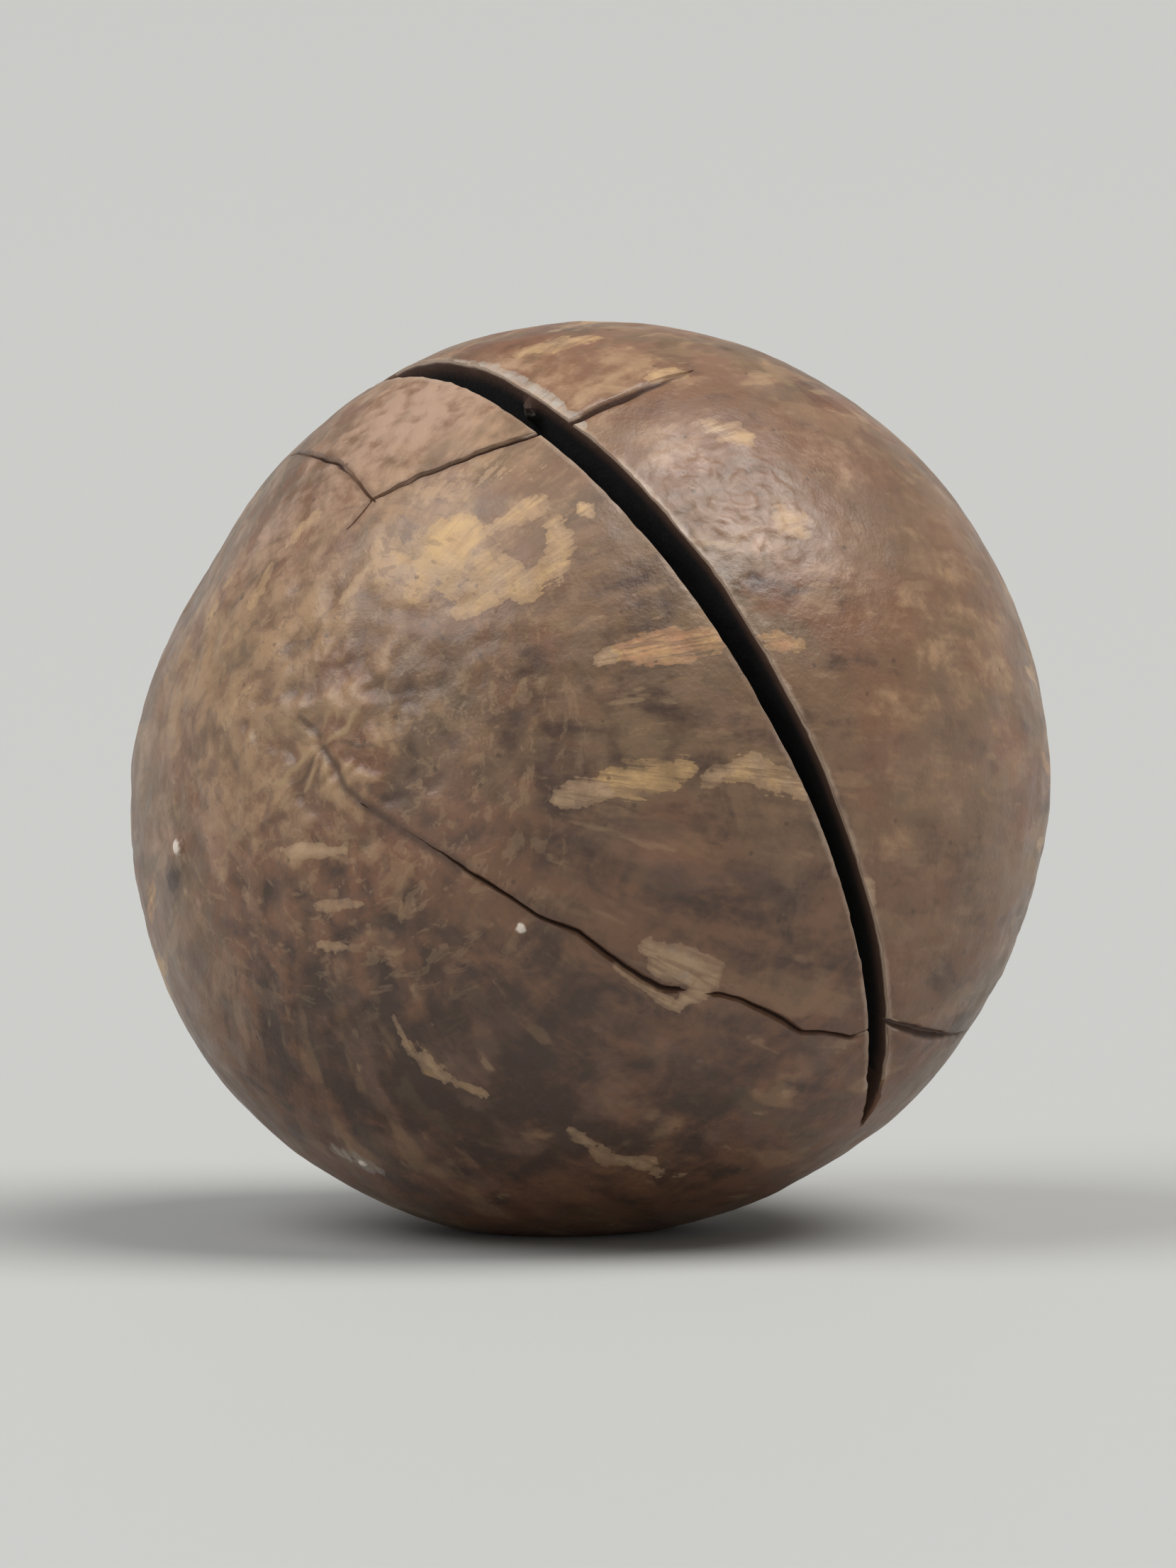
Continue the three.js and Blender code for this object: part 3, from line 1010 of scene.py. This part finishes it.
def paint(red, green, blue):
    """A colour as seen on a screen, 0 to 255, as the linear values that Blender wants"""
    def linear(v):
        v = v / 255
        return v / 12.92 if v <= 0.04045 else ((v + 0.055) / 1.055) ** 2.4
    return (linear(red), linear(green), linear(blue), 1.0)


def mix(share, a, b):
    """Colour b laid over colour a with a share of 0 to 1"""
    node = nodes.new("ShaderNodeMix")
    node.data_type = "RGBA"
    join(node.inputs["Factor"], share)
    join([s for s in node.inputs if s.name == "A" and s.type == "RGBA"][0], a)
    join([s for s in node.inputs if s.name == "B" and s.type == "RGBA"][0], b)
    return [s for s in node.outputs if s.type == "RGBA"][0]


object_place = add("ShaderNodeTexCoord").outputs["Object"]
place_mm = add("ShaderNodeVectorMath", object_place, None, None, 1000.0, operation="SCALE").outputs[0]
fibre_mm = stored("fibre", "Vector")


def fine_noise(place, detail, rough, twist):
    """Noise that is read at a place, with features about as large as its unit"""
    node = add("ShaderNodeTexNoise")
    join(node.inputs["Vector"], place)
    node.inputs["Scale"].default_value = 1.0
    node.inputs["Detail"].default_value = detail
    node.inputs["Roughness"].default_value = rough
    node.inputs["Distortion"].default_value = twist
    return node.outputs["Fac"]


def speckle(size, detail=3.0, rough=0.5, along=None, shift=0.0, twist=0.0):
    """Noise with features of a size in mm. With along, it is drawn out from pole to pole."""
    if along is None:
        scaled = add("ShaderNodeVectorMath", place_mm, (1 / size,) * 3, operation="MULTIPLY").outputs[0]
    else:
        stretch = (1 / size, 1 / size, 1 / along)
        scaled = add("ShaderNodeVectorMath", fibre_mm, stretch, operation="MULTIPLY").outputs[0]
    if shift:
        scaled = add("ShaderNodeVectorMath", scaled, (shift,) * 3, operation="ADD").outputs[0]
    return fine_noise(scaled, detail, rough, twist)


print("helpers for values, colours and noise are ready")

# %% [markdown]
# ## Brown and its mottling
# The bare shell swings between a greyer and a redder brown, and between light and dark. One noise decides
# the hue and the sum of several the shade: streaks from pole to pole, broad patches, fine grains, the stored
# tones with their painted light and shade, and the folds, with painted shade in their hollows and painted
# light on their crests.
# Colours are given as they look on a screen, and the helper turns them into linear values.

# %% Brown and its mottling
grey_brown = paint(118, 93, 69)
red_brown = paint(122, 82, 58)
light_brown = paint(163, 129, 95)
dark_brown = paint(70, 49, 37)
# Pink of the shell and of the painted reflection and highlight
pink_and_sheen_paint = paint(172, 140, 119)


def centred(value, weight):
    """A noise value taken to swing either side of 0, times a weight"""
    return times(math_node("SUBTRACT", value, 0.5), weight)


def total(*values):
    """The sum of several values"""
    value = values[0]
    for more in values[1:]:
        value = math_node("ADD", value, more)
    return value


pole_distance = add("ShaderNodeSeparateXYZ", fibre_mm).outputs[2]
streaky = stored("streaky")
# Redder where the stored tones say so; at the bottom the red is part of the painted shade
more_red = times(stored("redder"), 0.35)
blotch = total(speckle(3.5, 5.0, 0.6, twist=0.6), more_red)
less_mottled = times(stored("plainer"), -0.3)
plain_noise = total(speckle(6.0, 2.0, shift=14.0), less_mottled)
calm = ramp(plain_noise, 0.3, 0.6, 0.42, 1.0)
middle_hue = 0.45
hue_swing = times(math_node("SUBTRACT", ramp(blotch, 0.42, 0.62), middle_hue), calm)
brown = mix(total(hue_swing, middle_hue), grey_brown, red_brown)
streaks = times(centred(speckle(1.1, 4.0, 0.6, along=3.2), 0.9), streaky)
patches = centred(speckle(1.6, 5.0, 0.6, shift=4.4, twist=0.8), 1.0)
grains = centred(speckle(0.3, 4.0, 0.6, shift=1.7), 0.3)
# The stored tones, with their painted light and shade
tone_and_painted_light = times(stored("tone_with_painted_light"), 0.42)
# Painted shade in the hollows of the folds and painted light on their crests
painted_fold_shading = times(stored("fold"), 0.55)
shade = total(streaks, patches, grains, tone_and_painted_light, painted_fold_shading)
# Pale paint turns pink where the painted reflection and the painted highlight tint lie
pale_paint_with_sheen = mix(stored("pink_and_painted_sheen"), light_brown, pink_and_sheen_paint)
brown = mix(ramp(shade, 0.0, 0.42), brown, pale_paint_with_sheen)
brown = mix(ramp(shade, 0.0, -0.45), brown, dark_brown)
print("brown is mixed from 5 paints")

# %% [markdown]
# ## Patches with an outline
# Over the soft mottling lie patches that have an edge: thin skins of the husk that stayed on, or
# places where the top layer is worn off. Noise that goes through a narrow ramp gives islands
# with a crisp outline. Five such layers of different sizes and colours, none of them opaque,
# cross each other and look like many more.

# %% Patches with an outline
olive_brown = paint(100, 82, 58)
purple_brown = paint(92, 71, 60)
pink_brown = paint(144, 111, 91)
beige = paint(174, 144, 110)


outline_softness = 0.08


def patch_layer(under, colour, size, along, low, share, shift):
    """Irregular patches with a fairly crisp outline, drawn out from pole to pole between the poles"""
    drawn_out = speckle(size, 4.0, 0.5, along=along, shift=shift)
    even = speckle(size * 1.2, 4.0, 0.5, shift=shift, twist=0.4)
    value = add("ShaderNodeMapRange", streaky, 0.0, 1.0, even, drawn_out).outputs[0]
    cover = times(ramp(value, low, low + outline_softness), share)
    return mix(times(cover, calm), under, colour)


# Paint, size across and along in mm, least noise, how well it covers, and shift of the noise
patch_layers = [
    (pink_brown, 2.2, 3.6, 0.53, 0.32, 21.0),
    (purple_brown, 1.9, 3.0, 0.54, 0.36, 27.0),
    (olive_brown, 1.2, 2.6, 0.55, 0.45, 33.0),
    (pale_paint_with_sheen, 1.3, 3.0, 0.55, 0.4, 45.0),
    (beige, 0.6, 1.6, 0.6, 0.4, 57.0),
]
for layer in patch_layers:
    brown = patch_layer(brown, *layer)
print(len(patch_layers), "layers of patches")

# %% [markdown]
# ## Flecks, strokes and pores
# The flecks that are stored on the mesh have smooth outlines. Noise that is added before the
# ramp tears them into shape, and gaps along the grain let the brown through. Short strokes run
# round the star. The pores are the middles of Voronoi cells, because those never touch.

# %% Flecks
pink_tan = paint(181, 149, 116)
yellow_tan = paint(196, 159, 108)
orange_tan = paint(178, 130, 94)
dust_grey = paint(172, 164, 154)
strands = times(centred(speckle(0.32, 5.0, 0.6, along=2.6, shift=6.0), 2.2), streaky)
coarse_tears = centred(speckle(0.8, 4.0, 0.6), 2.0)
fine_tears = centred(speckle(0.25, 3.0, shift=5.0), 0.8)
fleck_value = total(stored("fleck"), strands, coarse_tears, fine_tears)
fleck_body = times(ramp(fleck_value, 0.0, 0.15), 0.5)
fleck_core = times(ramp(fleck_value, 0.2, 1.0), 0.45)
gaps = times(ramp(speckle(0.26, 4.0, 0.6, along=2.0, shift=9.0), 0.5, 0.38), streaky)
between_gaps = math_node("MULTIPLY_ADD", gaps, -0.6, 1.0)
worn = ramp(speckle(0.9, 5.0, 0.65, shift=19.0), 0.36, 0.56, 0.7, 1.0)
fleck_share = times(total(fleck_body, fleck_core), times(between_gaps, worn))
print("the flecks have their outline")

# %% Colour of the flecks
how_yellow = total(stored("yellow"), centred(speckle(0.6, 3.0, shift=8.0), 1.4))
fleck_paint = mix(ramp(how_yellow, 0.2, 0.9), pink_tan, yellow_tan)
fleck_paint = mix(ramp(how_yellow, 1.0, 1.8), fleck_paint, orange_tan)
fleck_paint = mix(ramp(how_yellow, -0.3, -1.0), fleck_paint, dust_grey)
brown = mix(fleck_share, brown, fleck_paint)
print("flecks are on")

# %% Strokes round the star, and pores
pore_brown = paint(60, 43, 33)
by_the_star = times(ramp(pole_distance, 0.5, 2.0), ramp(pole_distance, 10.0, 5.5))
squeeze = (0.55, 0.55, 2.3)  # draws the noise out round the star and presses it away from it
cross_place = add("ShaderNodeVectorMath", fibre_mm, squeeze, operation="MULTIPLY").outputs[0]
cross_noise = fine_noise(cross_place, 5.0, 0.6, 0.7)
light_strokes = times(ramp(cross_noise, 0.55, 0.61, 0.0, 0.25), by_the_star)
dark_strokes = times(ramp(cross_noise, 0.44, 0.39, 0.0, 0.35), by_the_star)
brown = mix(light_strokes, brown, beige)
brown = mix(dark_strokes, brown, purple_brown)
pores = add("ShaderNodeTexVoronoi", place_mm, distance="EUCLIDEAN")
pores.inputs["Scale"].default_value = 1.1
brown = mix(ramp(pores.outputs["Distance"], 0.1, 0.05, 0.0, 0.5), brown, pore_brown)
print("strokes and pores are on")

# %% [markdown]
# ## Star, scar and crumbs
# The veins of the star are lighter than the shell, the grooves between them are darker as painted shade, and
# the scar's strands are a dry grey. All read what was stored on the mesh, so colour and relief agree. The
# crumbs are so small that a spot of paint round each middle is enough.

# %% Star and scar
vein_paint = paint(172, 144, 106)
vein_groove_shade = paint(82, 61, 44)
strand_paint = paint(164, 147, 129)
between_strands = paint(106, 84, 68)
star_value = total(stored("star"), centred(speckle(0.4, 4.0, 0.6, shift=7.0), 1.1))
brown = mix(ramp(star_value, 0.15, 1.0, 0.0, 0.65), brown, vein_paint)
# Painted shade in the grooves between the veins
brown = mix(ramp(star_value, -0.15, -1.0, 0.0, 0.75), brown, vein_groove_shade)
strand_share = ramp(total(stored("strand"), centred(speckle(0.3, 4.0), 1.2)), -0.1, 0.9)
scar_paint = mix(strand_share, between_strands, strand_paint)
brown = mix(times(stored("scar"), 0.85), brown, scar_paint)
print("star and scar are painted")

# %% Pale crumbs
crumb_paint = paint(230, 217, 202)


def pale_spot(under, middle_of_spot, radius, share, colour):
    """Paints a small ragged spot round a place on the nut, given from the middle of the nut in mm"""
    place = (middle_of_spot[0], middle_of_spot[1], middle_of_spot[2] + rest_height)
    apart = add("ShaderNodeVectorMath", place_mm, place, operation="DISTANCE").outputs["Value"]
    ragged = total(apart, centred(speckle(0.2, 3.0, shift=9.0), 0.25))
    return mix(ramp(ragged, radius * 1.1, radius * 0.5, 0.0, share), under, colour)


for right, up, radius in white_crumbs:
    crumb = seen(right, up)
    crumb = crumb * shell_surface(crumb[None])[0]
    brown = pale_spot(brown, crumb, radius, 0.9, crumb_paint)
print(len(white_crumbs), "crumbs are painted")

# %% [markdown]
# ## Cracks and cut
# A saw leaves raw shell on the edge of its cut, paler than the skin, here more and there less.
# Below it the wall turns brown, and deeper in the saw cut it is painted nearly black as painted shade. A
# crack is darker than the skin too, and the skin beside it is a little darker. Depth and distance were
# stored on the mesh, so each of these is a ramp of one of them, with a little noise against a drawn look.

# %% Cracks and cut
edge_paint = paint(176, 152, 132)
inside_brown = paint(76, 51, 38)
# Near black, for painted shade deep in the saw cut
cut_shade_paint = paint(17, 13, 13)
by_crack_paint = paint(92, 64, 48)
groove_shade_paint = paint(70, 49, 36)
depth = stored("below")
beside = stored("beside_cut")
crack_noise = centred(speckle(0.3, 4.0, shift=18.0), 0.3)
# The skin is a little darker beside the cracks
by_crack_share = ramp(total(stored("by_crack"), crack_noise), 0.3, 0.02, 0.0, 0.5)
brown = mix(by_crack_share, brown, by_crack_paint)
# Painted shade along the soft groove from the star
brown = mix(times(stored("groove"), 0.8), brown, groove_shade_paint)
edge_noise = centred(speckle(0.35, 4.0, 0.6, shift=2.6), 0.22)
more_or_less = ramp(speckle(1.3, 3.0, shift=16.0), 0.35, 0.65, 0.25, 0.95)
pale_rim = times(ramp(total(beside, edge_noise), 0.22, 0.06, 0.0, 0.7), more_or_less)
brown = mix(pale_rim, brown, edge_paint)
pale_wall = times(ramp(depth, 0.012, 0.03), ramp(beside, 0.5, 0.3))
brown = mix(pale_wall, brown, edge_paint)
brown = mix(ramp(depth, 0.04, 0.12), brown, inside_brown)
# Painted shade: the deep walls of the saw cut are painted nearly black
painted_cut_shade = times(ramp(depth, 0.15, 0.6), ramp(beside, 0.3, 0.1))
brown = mix(painted_cut_shade, brown, cut_shade_paint)
print("cracks and cut are painted")

# %% The lump in the cut
lump_paint = paint(176, 166, 160)
lump_depth = 0.5  # mm below the shell
lump_off_wall = 0.1
lump_angle = math.radians(lump_turn)
lump_outward = unit(top_of_cut * math.cos(lump_angle) + over_front * math.sin(lump_angle))
lump_across = cut_off_centre + cut_width / 2 - lump_off_wall
lump = lump_outward * (shell_radius - lump_depth) + cut_faces * lump_across
brown = pale_spot(brown, lump, 0.2, 0.7, lump_paint)
print("the colour takes", len(nodes), "nodes")

# %% [markdown]
# ## Gloss and fine grain
# A macadamia shell has a soft waxy shine that is broken up by its grain. The roughness wanders
# with noise, flecks are a little duller, and the inside of the cut is dull. A thin coat adds
# the waxy highlight. The finest grain is below what a mesh can hold in reason, so it is a bump.

# %% Gloss and fine grain
principled = nodes["Principled BSDF"]
join(principled.inputs["Base Color"], brown)
roughness = ramp(speckle(0.8, 4.0), 0.3, 0.7, 0.38, 0.54)
duller_flecks = times(fleck_share, 0.08)
dull_inside = ramp(depth, 0.02, 0.1, 0.0, 0.4)
join(principled.inputs["Roughness"], total(roughness, duller_flecks, dull_inside))
principled.inputs["Specular IOR Level"].default_value = 0.5
principled.inputs["Coat Weight"].default_value = 0.18
principled.inputs["Coat Roughness"].default_value = 0.28
finest_grain = times(speckle(0.12, 3.0, shift=3.0), 0.4)
fine_grain = total(speckle(0.45, 5.0, 0.65), finest_grain)
fine_bump = add("ShaderNodeBump")
fine_bump.inputs["Strength"].default_value = 0.65
fine_bump.inputs["Distance"].default_value = 0.00006  # in m, as all of Blender's lengths
join(fine_bump.inputs["Height"], fine_grain)
join(principled.inputs["Normal"], fine_bump.outputs["Normal"])
cut_mesh.materials.clear()
cut_mesh.materials.append(shell_finish)
print("the finish has", len(nodes), "nodes")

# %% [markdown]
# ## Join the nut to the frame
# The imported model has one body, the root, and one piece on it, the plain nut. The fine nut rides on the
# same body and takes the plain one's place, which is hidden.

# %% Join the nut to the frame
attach(nut, "root")
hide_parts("nut")
print("the fine nut stands for the packed one")

# %% [markdown]
# ## Floor
# The nut lies on a plain pale floor. It is 6 m wide for a nut of 25 mm, so that its edge is far
# away and the light that it throws back up is even.

# %% Floor
floor_mesh = bpy.data.meshes.new("floor")
floor_half = 3.0
floor_corners = [(x * floor_half, y * floor_half, 0) for x, y in ((-1, -1), (1, -1), (1, 1), (-1, 1))]
floor_mesh.from_pydata(floor_corners, [], [(0, 1, 2, 3)])
floor = bpy.data.objects.new("floor", floor_mesh)
bpy.context.scene.collection.objects.link(floor)
floor_finish = bpy.data.materials.new("pale_floor")
floor_finish.use_nodes = True
floor_shader = floor_finish.node_tree.nodes["Principled BSDF"]
floor_shader.inputs["Base Color"].default_value = paint(178, 179, 177)
floor_shader.inputs["Roughness"].default_value = 0.7
floor_mesh.materials.append(floor_finish)
print("the floor is", 2 * floor_half, "m wide")

# %% [markdown]
# ## Light
# Two wide soft lamps hang above, one a little to the right and one high on the left. Together
# they give the broad highlight at the upper right and keep the left side readable. Lamps this
# large throw no hard shadow. The world is a pale room: its walls are as bright as the floor, so
# that no edge shows where the floor ends, and its ceiling is darker, which leaves the lamps in
# charge of the highlight.

# %% Lamps
middle = Vector((0, 0, rest_height / 1000))
lamp_distance = 6.0  # m


def soft_light(name, towards, size, watts, colour):
    """A round lamp that faces the nut from a direction"""
    lamp = bpy.data.lights.new(name, "AREA")
    lamp.shape = "DISK"
    lamp.size = size
    lamp.energy = watts
    lamp.color = colour
    holder = bpy.data.objects.new(name, lamp)
    bpy.context.scene.collection.objects.link(holder)
    holder.location = middle + Vector(towards).normalized() * lamp_distance
    holder.rotation_euler = (middle - holder.location).to_track_quat("-Z", "Y").to_euler()


# Name, direction, size in m, power in W and colour
lamps = [
    ("light_above", (0.44, -0.05, 0.9), 4.4, 340, (1.0, 0.985, 0.96)),
    ("light_upper_left", (-0.62, -0.25, 0.8), 5.0, 230, (0.97, 0.985, 1.0)),
]
for lamp_settings in lamps:
    soft_light(*lamp_settings)
print(len(lamps), "lamps are on")

# %% World
wall_top, ceiling_edge = 0.1, 0.4  # heights between which the wall goes over into the ceiling
wall_light, ceiling_light = 0.66, 0.2
world = bpy.data.worlds.new("pale_room")
bpy.context.scene.world = world
world.use_nodes = True
room, room_links = world.node_tree.nodes, world.node_tree.links
background = room["Background"]
looking = room.new("ShaderNodeTexCoord").outputs["Generated"]
height_in_room = room.new("ShaderNodeSeparateXYZ")
wall_to_ceiling = room.new("ShaderNodeMapRange")
wall_to_ceiling.inputs["From Min"].default_value = wall_top
wall_to_ceiling.inputs["From Max"].default_value = ceiling_edge
wall_to_ceiling.inputs["To Min"].default_value = wall_light
wall_to_ceiling.inputs["To Max"].default_value = ceiling_light
room_links.new(looking, height_in_room.inputs[0])
room_links.new(height_in_room.outputs[2], wall_to_ceiling.inputs[0])
room_links.new(wall_to_ceiling.outputs[0], background.inputs["Strength"])
background.inputs["Color"].default_value = (1.0, 1.0, 0.98, 1)
bpy.context.scene.view_settings.view_transform = "Standard"
print("the room is pale below and darker above")

# %% [markdown]
# ## Camera
# The camera looks at the middle of the nut from slightly above and from 1.2 m away. That is far
# for a nut of 25 mm, so the nut is seen almost without perspective, as a small thing in a
# wider picture is. The focal length follows from how much of the picture's width the nut
# should fill, so the nut stays in the picture if its size changes.

# %% Camera
frame_width, frame_height = 1659, 2212
nut_share = 0.78  # of the picture's width
camera_distance = 1.2
camera_data = bpy.data.cameras.new("camera")
camera = bpy.data.objects.new("camera", camera_data)
bpy.context.scene.collection.objects.link(camera)
bpy.context.scene.camera = camera
camera.location = middle + Vector(to_camera) * camera_distance
camera.rotation_euler = (middle - camera.location).to_track_quat("-Z", "Y").to_euler()
view_width = 2 * shell_radius / 1000 / nut_share
view_height = view_width * frame_height / frame_width
camera_data.sensor_width = 36
camera_data.lens = camera_data.sensor_width * camera_distance / view_height
camera_data.clip_start = 0.01
camera_data.clip_end = 20
print("the lens is", round(camera_data.lens), "mm")
